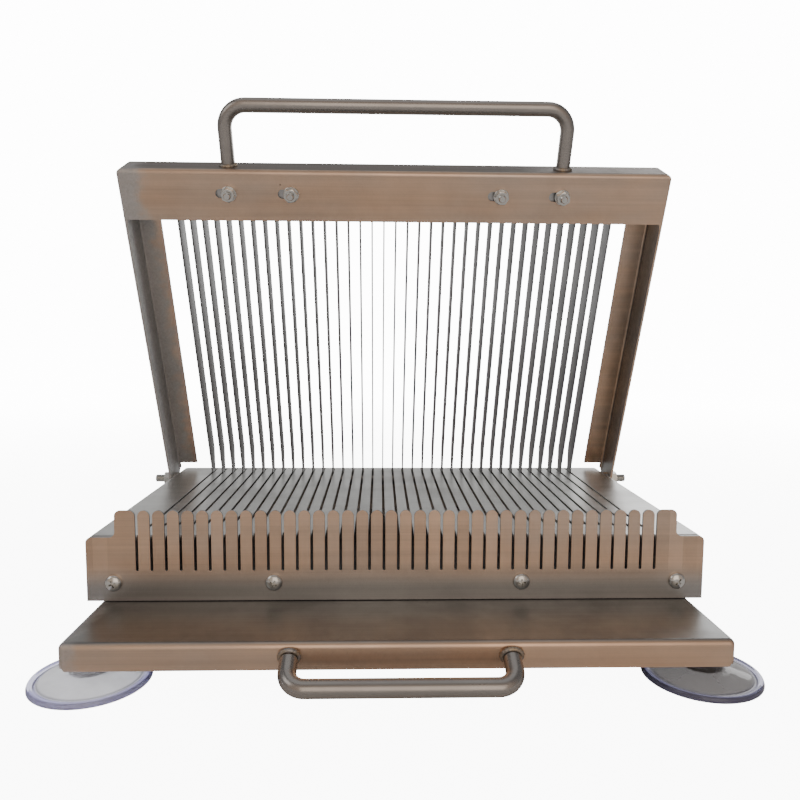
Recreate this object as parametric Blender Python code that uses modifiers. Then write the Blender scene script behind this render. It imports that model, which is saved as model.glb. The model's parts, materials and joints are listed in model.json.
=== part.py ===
"""Manual multi-blade slicer: a slotted bed on a suction-cup tray, and a hinged lid of parallel blades.

Metres, +Z up.  The front (handle side) faces -Y.  The origin is on the table, under the middle of the
object's bounding box.  The lid is modelled in its closed position around the hinge axis, under an
empty that stands on that axis and is turned to the open position.
"""
from math import cos, pi, radians, sin, sqrt

import bmesh
import bpy
from mathutils import Matrix, Vector

MM = 0.001
GAP = 0.3 * MM                      # clearance between pieces that touch

# Driving dimensions
SHEET = 1.5 * MM                    # sheet steel of every folded part
BLADE_COUNT = 37
BLADE_PITCH = 8 * MM
BLADE_THICKNESS = 1.0 * MM
SLOT_WIDTH = 1.6 * MM
BED_WIDTH = 344 * MM
BED_DEPTH = 205 * MM                # from the comb's front face to the back of the bed
BED_HEIGHT = 64 * MM                # above the table
BODY_HEIGHT = 36 * MM
BODY_BASE_WIDTH = 20 * MM           # of the flat frame inside the body's foot
TRAY_WIDTH = 330 * MM
TRAY_REACH = 55 * MM                # ledge in front of the comb
TRAY_FLANGE = 14 * MM
BEND_RADIUS = 3 * MM
BED_SLOT_INSET = 5.5 * MM           # from the back of the bed to the ends of its slots
LID_OPEN = radians(65.6)            # lid angle above the bed

# Comb
COMB_TOOTH_RISE = 15 * MM
COMB_SLOT_DROP = 19 * MM
COMB_SLOT_WIDTH = 1.4 * MM
COMB_TOOTH_ZONE = 156 * MM          # half width of the raised teeth
COMB_SCREW_X = (157 * MM, 69 * MM)
COMB_SCREW_DROP = 25.5 * MM         # below the bed
COMB_CORNER = 3 * MM                # rounding of the shoulders and of the widest teeth

# Hinge rod
HINGE_INSET = 17.3 * MM             # from the back of the bed to the rod
HINGE_DROP = 5.7 * MM
ROD_RADIUS = 3 * MM
ROD_HALF_LENGTH = 190 * MM
HINGE_NUT_RADIUS = 5.6 * MM
HINGE_NUT_LENGTH = 5 * MM
COLLAR_WALL = 2 * MM

# Lid, measured from the hinge axis with the lid closed
LID_WIDTH = 355.4 * MM
LID_LOW = -6 * MM
LID_HIGH = 19 * MM
LID_REAR = -10 * MM
LID_REACH = 244.5 * MM
LID_FLANGE_START = 212 * MM         # return flange under the front of the lid
LID_WINDOW_HALF = 161 * MM
LID_WINDOW_END = 208 * MM
LID_WINDOW_START = 3 * MM
LID_WALL_LOW = 8 * MM               # cuts in the lid's top face reach down to here
ARM_CORNER = 11 * MM                # chamfer on the back end of each lid arm
LID_BOLT_X = (108 * MM, 68 * MM)
LID_BOLT_REACH = 229.5 * MM
LID_SLOT_LENGTH = 12 * MM
LID_SLOT_WIDTH = 6 * MM
LID_SLOT_SHIFT = 2.6 * MM
CUTTER_OVERRUN = 5 * MM             # how far a cutter reaches past what it cuts

# Blades and the bar that holds their front ends
BLADE_EDGE = -3 * MM
BLADE_BACK = 12.5 * MM
BLADE_END = 231 * MM
BLADE_TAPER_END = 22 * MM
BLADE_EYE_RADIUS = 5.5 * MM
BLADE_NIP = 1 * MM                  # small chamfer at the front end of the cutting edge
BLADE_EYE_START = -144              # degrees, where the eye meets the cutting edge
BLADE_EYE_END = 106                 # degrees, where the eye meets the tapered back
HOLDER_REAR = 221 * MM
HOLDER_FRONT = 237 * MM
HOLDER_LOW = -4.2 * MM
HOLDER_HIGH = 15 * MM
HOLDER_HALF = 150 * MM
HOLDER_SLOT_WIDTH = 1.4 * MM

# Handles, suction cups and fasteners
HANDLE_RADIUS = 4.5 * MM
LID_HANDLE_HALF = 109 * MM
LID_HANDLE_REACH = 37 * MM
LID_HANDLE_LEVEL = 6 * MM
LID_HANDLE_BEND = 14 * MM
FRONT_HANDLE_HALF = 54 * MM
FRONT_HANDLE_REACH = 17 * MM
FRONT_HANDLE_DROP = 8 * MM
FRONT_HANDLE_BEND = 9 * MM
FRONT_HANDLE_RISE = 0.5 * MM        # foot above the middle of the tray's flange
CUP_RADIUS = 30 * MM
FRONT_CUP_X = 157 * MM
FRONT_CUP_INSET = 20 * MM           # from the tray's front edge
REAR_CUP_X = 145 * MM
REAR_CUP_INSET = 42 * MM            # from the tray's back edge
BOLT_RADIUS = 2.4 * MM

# Levels and places worked out from the above
COMB_Y = (TRAY_REACH + FRONT_HANDLE_REACH + HANDLE_RADIUS - BED_DEPTH) / 2
BED_BACK_Y = COMB_Y + BED_DEPTH
TRAY_FRONT_Y = COMB_Y - TRAY_REACH
BODY_BASE_Z = BED_HEIGHT - BODY_HEIGHT
TRAY_TOP_Z = BODY_BASE_Z - GAP
TRAY_BASE_Z = BODY_BASE_Z - TRAY_FLANGE
HINGE_Y = BED_BACK_Y - HINGE_INSET
HINGE_Z = BED_HEIGHT - HINGE_DROP
BLADE_XS = [(i - (BLADE_COUNT - 1) / 2) * BLADE_PITCH for i in range(BLADE_COUNT)]


# Scene helpers

def clear_scene():
    for item in list(bpy.data.objects):
        bpy.data.objects.remove(item, do_unlink=True)


def collection(name):
    group = bpy.data.collections.new(name)
    bpy.context.scene.collection.children.link(group)
    return group


def finish_material(name, color, roughness, metallic):
    mat = bpy.data.materials.new(name)
    mat.use_nodes = True
    shader = mat.node_tree.nodes["Principled BSDF"]
    shader.inputs["Base Color"].default_value = (*color, 1.0)
    shader.inputs["Roughness"].default_value = roughness
    shader.inputs["Metallic"].default_value = metallic
    return mat


def place(name, data, group, mat=None, parent=None):
    item = bpy.data.objects.new(name, data)
    group.objects.link(item)
    if mat:
        data.materials.append(mat)
    if parent:
        item.parent = parent
    return item


def as_cutter(item):
    item.hide_render = True
    item.display_type = "WIRE"
    return item


def cut(target, cutter):
    mod = target.modifiers.new("Cut", "BOOLEAN")
    mod.operation = "DIFFERENCE"
    mod.solver = "EXACT"
    mod.object = cutter


def box_into(bm, low, high):
    """Adds a box between two corners and returns its vertices."""
    low, high = Vector(low), Vector(high)
    size = high - low
    made = bmesh.ops.create_cube(bm, size=1.0)["verts"]
    bmesh.ops.scale(bm, vec=size, verts=made)
    bmesh.ops.translate(bm, vec=(low + high) / 2, verts=made)
    return made


def cylinder_into(bm, centre, radius, depth, axis, segments=16):
    """Adds a closed cylinder along X, Y or Z and returns its vertices."""
    turn = {"X": Matrix.Rotation(pi / 2, 4, "Y"),
            "Y": Matrix.Rotation(pi / 2, 4, "X"),
            "Z": Matrix.Identity(4)}[axis]
    return bmesh.ops.create_cone(bm, cap_ends=True, segments=segments, radius1=radius, radius2=radius,
                                 depth=depth, matrix=Matrix.Translation(centre) @ turn)["verts"]


def mesh_from(bm, name, smooth=False):
    mesh = bpy.data.meshes.new(name)
    bm.to_mesh(mesh)
    bm.free()
    if smooth:
        mesh.shade_smooth()
        mesh.set_sharp_from_angle(angle=radians(35))
    return mesh


def edges_where(bm, test):
    return [edge for edge in bm.edges if test(*[vert.co for vert in edge.verts])]


def round_edges(bm, edges, radius, segments=3):
    bmesh.ops.bevel(bm, geom=edges, offset=radius, offset_type="OFFSET", segments=segments,
                    profile=0.5, affect="EDGES", clamp_overlap=True, material=-1)


def folded_cover(name, low, high, group, mat):
    """An open-bottomed sheet box with bent upper edges and corners."""
    bm = bmesh.new()
    box_into(bm, low, high)
    base = [face for face in bm.faces if face.normal.z < -0.5]
    bmesh.ops.delete(bm, geom=base, context="FACES_ONLY")
    bends = edges_where(bm, lambda a, b: not (abs(a.z - low[2]) < 1e-6 and abs(b.z - low[2]) < 1e-6))
    round_edges(bm, bends, BEND_RADIUS)
    cover = place(name, mesh_from(bm, name, smooth=True), group, mat)
    wall = cover.modifiers.new("Sheet", "SOLIDIFY")
    wall.thickness = SHEET
    wall.offset = -1
    wall.use_even_offset = True
    return cover


def flat_plate(name, loops, thickness, group, mat, parent=None):
    """A flat plate from closed outlines; the first is the outside and the others are holes."""
    curve = bpy.data.curves.new(name, "CURVE")
    curve.dimensions = "2D"
    curve.fill_mode = "BOTH"
    curve.extrude = thickness / 2
    for loop in loops:
        spline = curve.splines.new("POLY")
        spline.points.add(len(loop) - 1)
        for point, (u, v) in zip(spline.points, loop):
            point.co = (u, v, 0, 1)
        spline.use_cyclic_u = True
    return place(name, curve, group, mat, parent)


def arc(cx, cy, radius, start, end, steps):
    """Points on an arc, in degrees, both ends included."""
    angles = [radians(start + (end - start) * i / steps) for i in range(steps + 1)]
    return [(cx + radius * cos(a), cy + radius * sin(a)) for a in angles]


def turned(name, profile, group, mat, steps=24):
    """A turned solid from an outline that runs down its outer side at +X."""
    bm = bmesh.new()
    verts = [bm.verts.new((radius, 0, level)) for radius, level in profile]
    for first, second in zip(verts, verts[1:]):
        bm.edges.new((first, second))
    item = place(name, mesh_from(bm, name), group, mat)
    screw = item.modifiers.new("Turn", "SCREW")
    screw.axis = "Z"
    screw.steps = steps
    screw.render_steps = steps
    screw.use_merge_vertices = True
    screw.merge_threshold = 0.00001
    screw.use_smooth_shade = True
    return item


def bent_rod(name, points, group, mat, parent=None):
    """A round bar along points that are already bent."""
    curve = bpy.data.curves.new(name, "CURVE")
    curve.dimensions = "3D"
    curve.bevel_depth = HANDLE_RADIUS
    curve.bevel_resolution = 3
    curve.use_fill_caps = True
    spline = curve.splines.new("POLY")
    spline.points.add(len(points) - 1)
    for point, place_at in zip(spline.points, points):
        point.co = (*place_at, 1)
    return place(name, curve, group, mat, parent)


def handle_outline(half, reach, bend, start, steps=6):
    """Half-width and reach of a U handle as (across, out) points from foot to foot."""
    left = arc(-half + bend, reach - bend, bend, 180, 90, steps)
    right = arc(half - bend, reach - bend, bend, 90, 0, steps)
    return [(-half, start), *left, *right, (half, start)]


# Base parts

def slot_cutter(name, low_y, high_y, low_z, high_z, width, group, parent=None):
    bm = bmesh.new()
    for x in BLADE_XS:
        box_into(bm, (x - width / 2, low_y, low_z), (x + width / 2, high_y, high_z))
    cutter = place(name, mesh_from(bm, name), group, parent=parent)
    return as_cutter(cutter)


def make_body_cover(parts, tools, mat):
    front = COMB_Y + SHEET + GAP
    cover = folded_cover("body_cover", (-BED_WIDTH / 2, front, BODY_BASE_Z),
                         (BED_WIDTH / 2, BED_BACK_Y, BED_HEIGHT), parts, mat)
    cut(cover, slot_cutter("bed_slots", COMB_Y - GAP, BED_BACK_Y - BED_SLOT_INSET,
                           BED_HEIGHT - COMB_SLOT_DROP - GAP, BED_HEIGHT + SHEET, SLOT_WIDTH, tools))
    bm = bmesh.new()
    cylinder_into(bm, (0, HINGE_Y, HINGE_Z), ROD_RADIUS + GAP, BED_WIDTH + 2 * SHEET, "X", 20)
    for x in (*COMB_SCREW_X, *[-x for x in COMB_SCREW_X]):
        cylinder_into(bm, (x, front, BED_HEIGHT - COMB_SCREW_DROP), BOLT_RADIUS + GAP, 4 * SHEET, "Y", 12)
    cut(cover, as_cutter(place("body_holes", mesh_from(bm, "body_holes"), tools)))


def comb_outline():
    """The comb plate seen from the front, as (x, height above the bed) points, clockwise from low left."""
    half = BED_WIDTH / 2
    base = -BODY_HEIGHT
    corner = COMB_CORNER
    slot = COMB_SLOT_WIDTH / 2
    tip = BLADE_PITCH / 2 - slot
    top = COMB_TOOTH_RISE
    points = [(-half, base)]
    points += arc(-half + corner, -corner - GAP, corner, 180, 90, 3)
    points += arc(-COMB_TOOTH_ZONE - corner, corner - GAP, corner, 270, 360, 3)
    points += arc(-COMB_TOOTH_ZONE + corner, top - corner, corner, 180, 90, 3)
    first = BLADE_XS[0]
    points += arc(first - slot - corner, top - corner, corner, 90, 0, 3)
    for x in BLADE_XS:
        points += [(x - slot, -COMB_SLOT_DROP), (x + slot, -COMB_SLOT_DROP)]
        if x != BLADE_XS[-1]:
            points += arc(x + BLADE_PITCH / 2, top - tip, tip, 180, 0, 8)
    left_shoulder = points[:points.index((first - slot, -COMB_SLOT_DROP))]
    mirrored = [(-x, z) for x, z in left_shoulder]
    return points + mirrored[::-1]


def make_comb_plate(parts, mat):
    screw_height = -COMB_SCREW_DROP
    holes = []
    for x in (*COMB_SCREW_X, *[-x for x in COMB_SCREW_X]):
        holes.append(arc(x, screw_height, BOLT_RADIUS + GAP, 0, 330, 11))
    plate = flat_plate("comb_plate", [comb_outline(), *holes], SHEET, parts, mat)
    plate.rotation_euler = (pi / 2, 0, 0)
    plate.location = (0, COMB_Y + SHEET / 2, BED_HEIGHT)


def make_body_base_frame(parts, mat):
    """The flat frame inside the foot of the body, which closes the gap beside and behind the tray."""
    half = BED_WIDTH / 2 - SHEET - GAP
    front = COMB_Y + 2 * SHEET + 2 * GAP
    back = BED_BACK_Y - SHEET - GAP
    corner = BEND_RADIUS
    loops = []
    for inset in (0, BODY_BASE_WIDTH):
        left, right, near, far = -half + inset, half - inset, front + inset, back - inset
        loops.append(arc(right - corner, far - corner, corner, 0, 90, 4)
                     + arc(left + corner, far - corner, corner, 90, 180, 4)
                     + arc(left + corner, near + corner, corner, 180, 270, 4)
                     + arc(right - corner, near + corner, corner, 270, 360, 4))
    frame = flat_plate("body_base_frame", loops, SHEET, parts, mat)
    frame.location = (0, 0, BODY_BASE_Z + SHEET / 2)


def make_tray(parts, mat):
    folded_cover("base_tray", (-TRAY_WIDTH / 2, TRAY_FRONT_Y, TRAY_BASE_Z),
                 (TRAY_WIDTH / 2, BED_BACK_Y, TRAY_TOP_Z), parts, mat)


def make_comb_screws(parts, mat):
    """Pan head screws that hold the comb to the body, with their thread ends inside."""
    head = [(0, 3.2), (2.2, 2.9), (3.7, 2.1), (4.6, 0.9), (4.7, 0.3), (2.4, 0.3), (2.4, -7), (0, -7)]
    names = ("comb_screw_left_outer", "comb_screw_left_inner", "comb_screw_right_inner",
             "comb_screw_right_outer")
    for name, x in zip(names, sorted([*COMB_SCREW_X, *[-x for x in COMB_SCREW_X]])):
        screw = turned(name, [(r * MM, z * MM) for r, z in head], parts, mat, steps=16)
        screw.rotation_euler = (pi / 2, 0, 0)
        screw.location = (x, COMB_Y, BED_HEIGHT - COMB_SCREW_DROP)


def make_front_handle(parts, mat):
    length = sqrt(FRONT_HANDLE_REACH ** 2 + FRONT_HANDLE_DROP ** 2)
    out, down = FRONT_HANDLE_REACH / length, FRONT_HANDLE_DROP / length
    start = (GAP + HANDLE_RADIUS * down) / out
    root_z = (TRAY_TOP_Z + TRAY_BASE_Z) / 2 + FRONT_HANDLE_RISE
    outline = handle_outline(FRONT_HANDLE_HALF, length, FRONT_HANDLE_BEND, start)
    bent_rod("front_handle", [(x, TRAY_FRONT_Y - out * d, root_z - down * d) for x, d in outline], parts, mat)


def make_suction_cups(parts, mat):
    """Moulded cups with a hub and a stud that reaches the underside of the tray."""
    stud_top = (TRAY_TOP_Z - SHEET - GAP) / MM
    rim = CUP_RADIUS / MM
    profile = [(0, stud_top), (4, stud_top), (4, 14), (7.4, 13.2), (8, 8.5), (14, 6.2), (rim - 5, 2.6),
               (rim - 0.4, 2.2), (rim, 1.2), (rim, 0), (rim - 3, 0), (rim - 8, 0.9), (12, 3.8), (0, 5)]
    places = {"suction_cup_front_left": (-FRONT_CUP_X, TRAY_FRONT_Y + FRONT_CUP_INSET),
              "suction_cup_front_right": (FRONT_CUP_X, TRAY_FRONT_Y + FRONT_CUP_INSET),
              "suction_cup_rear_left": (-REAR_CUP_X, BED_BACK_Y - REAR_CUP_INSET),
              "suction_cup_rear_right": (REAR_CUP_X, BED_BACK_Y - REAR_CUP_INSET)}
    for name, (x, y) in places.items():
        cup = turned(name, [(r * MM, z * MM) for r, z in profile], parts, mat)
        cup.location = (x, y, 0)


def make_hinge_rod(parts, tools, mat):
    """The rod through body, lid arms and blade eyes, with a collar between each arm and the body."""
    collar_in = BED_WIDTH / 2 + GAP
    collar_out = LID_WIDTH / 2 - SHEET - GAP
    end = ROD_HALF_LENGTH
    wide = ROD_RADIUS + COLLAR_WALL
    outer_side = [(0, end), (ROD_RADIUS, end), (ROD_RADIUS, collar_out), (wide, collar_out),
                  (wide, collar_in), (ROD_RADIUS, collar_in)]
    profile = outer_side + [(radius, -level) for radius, level in reversed(outer_side)]
    rod = turned("hinge_rod", profile, parts, mat, steps=16)
    rod.rotation_euler = (0, pi / 2, 0)
    rod.location = (0, HINGE_Y, HINGE_Z)
    for side, name in ((-1, "hinge_nut_left"), (1, "hinge_nut_right")):
        bm = bmesh.new()
        inner = LID_WIDTH / 2 + GAP
        centre = (side * (inner + HINGE_NUT_LENGTH / 2), 0, 0)
        cylinder_into(bm, centre, HINGE_NUT_RADIUS, HINGE_NUT_LENGTH, "X", 6)
        nut = place(name, mesh_from(bm, name), parts, mat)
        nut.location = (0, HINGE_Y, HINGE_Z)
        bore = bmesh.new()
        cylinder_into(bore, centre, ROD_RADIUS + GAP, 4 * HINGE_NUT_LENGTH, "X", 20)
        drill = as_cutter(place(name + "_bore", mesh_from(bore, name + "_bore"), tools))
        drill.location = nut.location
        cut(nut, drill)


# Lid parts, all closed, from the hinge axis: -Y is towards the front

def lid_box(bm, half_width, rear, front, low, high):
    return box_into(bm, (-half_width, -front, low), (half_width, -rear, high))


def make_lid_frame(parts, tools, mat, axis):
    half = LID_WIDTH / 2
    bm = bmesh.new()
    lid_box(bm, half, LID_REAR, LID_REACH, LID_LOW, LID_HIGH)
    bmesh.ops.bisect_plane(bm, geom=[*bm.verts, *bm.edges, *bm.faces], dist=1e-7,
                           plane_co=(0, -LID_FLANGE_START, 0), plane_no=(0, 1, 0))
    unwanted = []
    for face in bm.faces:
        centre = face.calc_center_median()
        open_rear = face.normal.y > 0.5
        open_base = face.normal.z < -0.5 and centre.y > -LID_FLANGE_START
        if open_rear or open_base:
            unwanted.append(face)
    bmesh.ops.delete(bm, geom=unwanted, context="FACES_ONLY")

    def bent(a, b):
        at_front = abs(a.y + LID_REACH) < 1e-6 and abs(b.y + LID_REACH) < 1e-6
        on_top = abs(a.z - LID_HIGH) < 1e-6 and abs(b.z - LID_HIGH) < 1e-6
        along = abs(a.x - b.x) < 1e-6
        return at_front or (on_top and along)
    round_edges(bm, edges_where(bm, bent), BEND_RADIUS)
    frame = place("lid_frame", mesh_from(bm, "lid_frame", smooth=True), parts, mat, axis)
    wall = frame.modifiers.new("Sheet", "SOLIDIFY")
    wall.thickness = SHEET
    wall.offset = -1
    wall.use_even_offset = True

    window = bmesh.new()
    lid_box(window, LID_WINDOW_HALF, LID_REAR - CUTTER_OVERRUN, LID_WINDOW_END, LID_WALL_LOW,
            LID_HIGH + CUTTER_OVERRUN)
    cut(frame, as_cutter(place("lid_window", mesh_from(window, "lid_window"), tools, parent=axis)))
    rear = bmesh.new()
    lid_box(rear, half - BEND_RADIUS, LID_REAR - CUTTER_OVERRUN, LID_WINDOW_START, LID_WALL_LOW,
            LID_HIGH + CUTTER_OVERRUN)
    cut(frame, as_cutter(place("lid_rear_gap", mesh_from(rear, "lid_rear_gap"), tools, parent=axis)))
    corner = bmesh.new()
    made = lid_box(corner, half + CUTTER_OVERRUN, -ARM_CORNER, ARM_CORNER, 0, 2 * ARM_CORNER)
    turn = Matrix.Translation((0, -LID_REAR, LID_HIGH - ARM_CORNER)) @ Matrix.Rotation(pi / 4, 4, "X")
    bmesh.ops.transform(corner, matrix=turn, verts=made)
    cut(frame, as_cutter(place("lid_arm_corner", mesh_from(corner, "lid_arm_corner"), tools, parent=axis)))
    holes = bmesh.new()
    cylinder_into(holes, (0, 0, 0), ROD_RADIUS + GAP, LID_WIDTH + CUTTER_OVERRUN, "X", 20)
    cut(frame, as_cutter(place("lid_rod_hole", mesh_from(holes, "lid_rod_hole"), tools, parent=axis)))
    slots = bmesh.new()
    for x in (*LID_BOLT_X, *[-x for x in LID_BOLT_X]):
        middle = x - LID_SLOT_SHIFT
        made = box_into(slots, (middle - LID_SLOT_LENGTH / 2, -LID_BOLT_REACH - LID_SLOT_WIDTH / 2, LID_LOW - SHEET),
                        (middle + LID_SLOT_LENGTH / 2, -LID_BOLT_REACH + LID_SLOT_WIDTH / 2, LID_LOW + 2 * SHEET))
        upright = {edge for vert in made for edge in vert.link_edges
                   if abs(edge.verts[0].co.z - edge.verts[1].co.z) > 1 * MM}
        round_edges(slots, list(upright), LID_SLOT_WIDTH / 2 - 0.05 * MM, 4)
    cut(frame, as_cutter(place("lid_bolt_slots", mesh_from(slots, "lid_bolt_slots"), tools, parent=axis)))


def blade_outline():
    """Side view of a blade as (towards the back, up) points from the hinge axis."""
    reach = sqrt(BLADE_EYE_RADIUS ** 2 - BLADE_EDGE ** 2)
    eye = arc(0, 0, BLADE_EYE_RADIUS, BLADE_EYE_START, BLADE_EYE_END, 10)
    return [(-BLADE_END + BLADE_NIP, BLADE_EDGE), (-reach - GAP, BLADE_EDGE), *eye,
            (-BLADE_TAPER_END, BLADE_BACK), (-BLADE_END, BLADE_BACK), (-BLADE_END, BLADE_EDGE + BLADE_NIP)]


def make_blades(parts, mat, axis):
    bore = arc(0, 0, ROD_RADIUS + GAP, 0, 337.5, 15)
    shared = None
    for number, x in enumerate(BLADE_XS, start=1):
        name = f"blade_{number:02d}"
        if shared is None:
            blade = flat_plate(name, [blade_outline(), bore], BLADE_THICKNESS, parts, mat, axis)
            shared = blade.data
        else:
            blade = bpy.data.objects.new(name, shared)
            parts.objects.link(blade)
            blade.parent = axis
        blade.rotation_euler = (pi / 2, 0, pi / 2)
        blade.location = (x, 0, 0)


def make_blade_holder(parts, tools, mat, axis):
    bm = bmesh.new()
    lid_box(bm, HOLDER_HALF, HOLDER_REAR, HOLDER_FRONT, HOLDER_LOW, HOLDER_HIGH)
    holder = place("blade_holder", mesh_from(bm, "blade_holder"), parts, mat, axis)
    cut(holder, slot_cutter("holder_slots", -BLADE_END - GAP, -HOLDER_REAR + SHEET, HOLDER_LOW - SHEET,
                            HOLDER_HIGH + SHEET, HOLDER_SLOT_WIDTH, tools, axis))
    holes = bmesh.new()
    for x in (*LID_BOLT_X, *[-x for x in LID_BOLT_X]):
        cylinder_into(holes, (x, -LID_BOLT_REACH, (HOLDER_LOW + HOLDER_HIGH) / 2), BOLT_RADIUS + GAP,
                      2 * (HOLDER_HIGH - HOLDER_LOW), "Z", 12)
    cut(holder, as_cutter(place("holder_holes", mesh_from(holes, "holder_holes"), tools, parent=axis)))


def make_lid_bolts(parts, mat, axis):
    """Bolts down through the blade holder and the lid's flange, with washer and nut below."""
    low = LID_LOW / MM
    top = HOLDER_HIGH / MM
    profile = [(0, top + 2.2), (4.2, top + 2.2), (4.2, top + 0.3), (2.4, top + 0.3), (2.4, low - 0.3),
               (5, low - 0.3), (5, low - 1.3), (4.2, low - 1.3), (4.2, low - 5.3), (2.4, low - 5.3),
               (2.4, low - 8), (0, low - 8)]
    names = ("lid_bolt_left_outer", "lid_bolt_left_inner", "lid_bolt_right_inner", "lid_bolt_right_outer")
    for name, x in zip(names, sorted([*LID_BOLT_X, *[-x for x in LID_BOLT_X]])):
        bolt = turned(name, [(r * MM, z * MM) for r, z in profile], parts, mat, steps=12)
        bolt.parent = axis
        bolt.location = (x, -LID_BOLT_REACH, 0)


def make_lid_handle(parts, mat, axis):
    outline = handle_outline(LID_HANDLE_HALF, LID_HANDLE_REACH, LID_HANDLE_BEND, GAP)
    bent_rod("lid_handle", [(x, -LID_REACH - d, LID_HANDLE_LEVEL) for x, d in outline], parts, mat, axis)


clear_scene()
PARTS = collection("multi_blade_slicer")
TOOLS = collection("cutters")
STEEL = finish_material("brushed_sheet_steel", (0.56, 0.53, 0.50), 0.38, 1.0)
BLADE_STEEL = finish_material("blade_steel", (0.72, 0.72, 0.72), 0.25, 1.0)
BAR_STEEL = finish_material("polished_bar_steel", (0.60, 0.59, 0.57), 0.22, 1.0)
HARDWARE = finish_material("plated_hardware", (0.70, 0.69, 0.66), 0.2, 1.0)
CLEAR_VINYL = finish_material("clear_vinyl", (0.86, 0.88, 0.93), 0.15, 0.0)

make_body_cover(PARTS, TOOLS, STEEL)
make_comb_plate(PARTS, STEEL)
make_body_base_frame(PARTS, STEEL)
make_tray(PARTS, STEEL)
make_comb_screws(PARTS, HARDWARE)
make_front_handle(PARTS, BAR_STEEL)
make_suction_cups(PARTS, CLEAR_VINYL)
make_hinge_rod(PARTS, TOOLS, HARDWARE)

LID_AXIS = bpy.data.objects.new("lid_hinge_axis", None)
PARTS.objects.link(LID_AXIS)
LID_AXIS.location = (0, HINGE_Y, HINGE_Z)
LID_AXIS.rotation_euler = (-LID_OPEN, 0, 0)
make_lid_frame(PARTS, TOOLS, STEEL, LID_AXIS)
make_blades(PARTS, BLADE_STEEL, LID_AXIS)
make_blade_holder(PARTS, TOOLS, BLADE_STEEL, LID_AXIS)
make_lid_bolts(PARTS, HARDWARE, LID_AXIS)
make_lid_handle(PARTS, BAR_STEEL, LID_AXIS)
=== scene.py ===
"""Fine surfaces and finishes of a countertop multi-blade slicer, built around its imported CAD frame.

Metres, +Z up.  The base faces -Y.  Lid pieces are modelled closed, measured from the hinge axis, and
their meshes are then turned to the open position that the frame holds.
"""

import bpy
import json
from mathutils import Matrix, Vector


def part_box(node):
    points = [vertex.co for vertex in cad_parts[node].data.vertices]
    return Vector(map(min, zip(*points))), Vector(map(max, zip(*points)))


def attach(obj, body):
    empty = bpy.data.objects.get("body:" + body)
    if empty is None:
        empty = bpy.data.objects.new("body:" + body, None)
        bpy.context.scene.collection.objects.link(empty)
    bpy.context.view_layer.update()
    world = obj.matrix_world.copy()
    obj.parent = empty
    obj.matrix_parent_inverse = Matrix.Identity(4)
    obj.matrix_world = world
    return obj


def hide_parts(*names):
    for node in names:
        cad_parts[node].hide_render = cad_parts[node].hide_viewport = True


bl_info = {
    "name": "Multi-blade slicer",
    "version": (1, 0, 0),
    "blender": (4, 5, 0),
    "location": "3D View > Sidebar > Slicer",
    "description": "Builds the pieces of a hand-operated multi-blade slicer",
    "category": "Add Mesh",
}

import json
from math import atan2, cos, hypot, pi, radians, sin

import bmesh
import bpy
from mathutils import Matrix, Vector

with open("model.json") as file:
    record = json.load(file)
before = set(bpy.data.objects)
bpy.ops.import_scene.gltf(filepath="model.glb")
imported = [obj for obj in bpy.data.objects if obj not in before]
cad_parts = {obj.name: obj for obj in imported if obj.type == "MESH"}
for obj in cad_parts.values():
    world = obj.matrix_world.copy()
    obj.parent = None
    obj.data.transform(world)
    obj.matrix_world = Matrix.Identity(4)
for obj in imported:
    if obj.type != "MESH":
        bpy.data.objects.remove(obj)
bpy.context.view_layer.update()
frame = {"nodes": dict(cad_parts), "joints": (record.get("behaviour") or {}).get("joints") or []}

MM = 0.001
GAP = 0.3 * MM

# Places read from the frame
BODY_LOW, BODY_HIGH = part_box("body_cover")
COMB_LOW, COMB_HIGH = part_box("comb_plate")
TRAY_LOW, TRAY_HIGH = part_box("base_tray")
LID_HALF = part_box("lid_frame")[1].x
ROD_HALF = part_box("hinge_rod")[1].x
HINGE = Vector(frame["joints"][0]["pos_m"])
BED_TOP = BODY_HIGH.z
COMB_FRONT = COMB_LOW.y
TRAY_FRONT = TRAY_LOW.y
CUP_NODES = [n for n in sorted(frame["nodes"]) if n.startswith("suction_cup")]
BLADE_NODES = [n for n in sorted(frame["nodes"]) if n.startswith("blade_") and n[6:].isdigit()]

# The lid's turn from closed to the open position of the frame
LID_OPEN = radians(65.6)
LID_TURN = Matrix.Translation(HINGE) @ Matrix.Rotation(-LID_OPEN, 4, "X")

# Lid, measured from the hinge axis with the lid closed
LID_LOW = -6 * MM
LID_HIGH = 19 * MM
LID_REAR = -10 * MM
LID_REACH = 244.5 * MM
LID_FLANGE_START = 212 * MM
LID_WINDOW_HALF = 161 * MM
LID_WINDOW_END = 208 * MM
LID_WINDOW_START = 3 * MM
LID_BOLT_REACH = 229.5 * MM
LID_BOLT_XS = [x * MM for x in (-108, -68, 68, 108)]
HOLDER_HIGH = 15 * MM
BLADE_LOW = -3 * MM
BLADE_HIGH = 12.5 * MM
BLADE_REACH = 231 * MM
BLADE_EYE = 5.5 * MM
BLADE_EDGE = 0.3                # thickness left at the ground edge
COMB_SCREW_XS = [x * MM for x in (-157, -69, 69, 157)]
COMB_SCREW_Z = BED_TOP - 25.5 * MM

# The handles; the front one falls as it comes forward
FRONT_GRIP_OUT = 17 * MM
FRONT_GRIP_DOWN = 8 * MM
FRONT_GRIP_TILT = atan2(FRONT_GRIP_DOWN, FRONT_GRIP_OUT)
FRONT_GRIP = {"half": 54 * MM, "reach": hypot(FRONT_GRIP_OUT, FRONT_GRIP_DOWN), "bend": 9 * MM}
LID_GRIP = {"half": 109 * MM, "reach": 37 * MM, "bend": 14 * MM}

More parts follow.
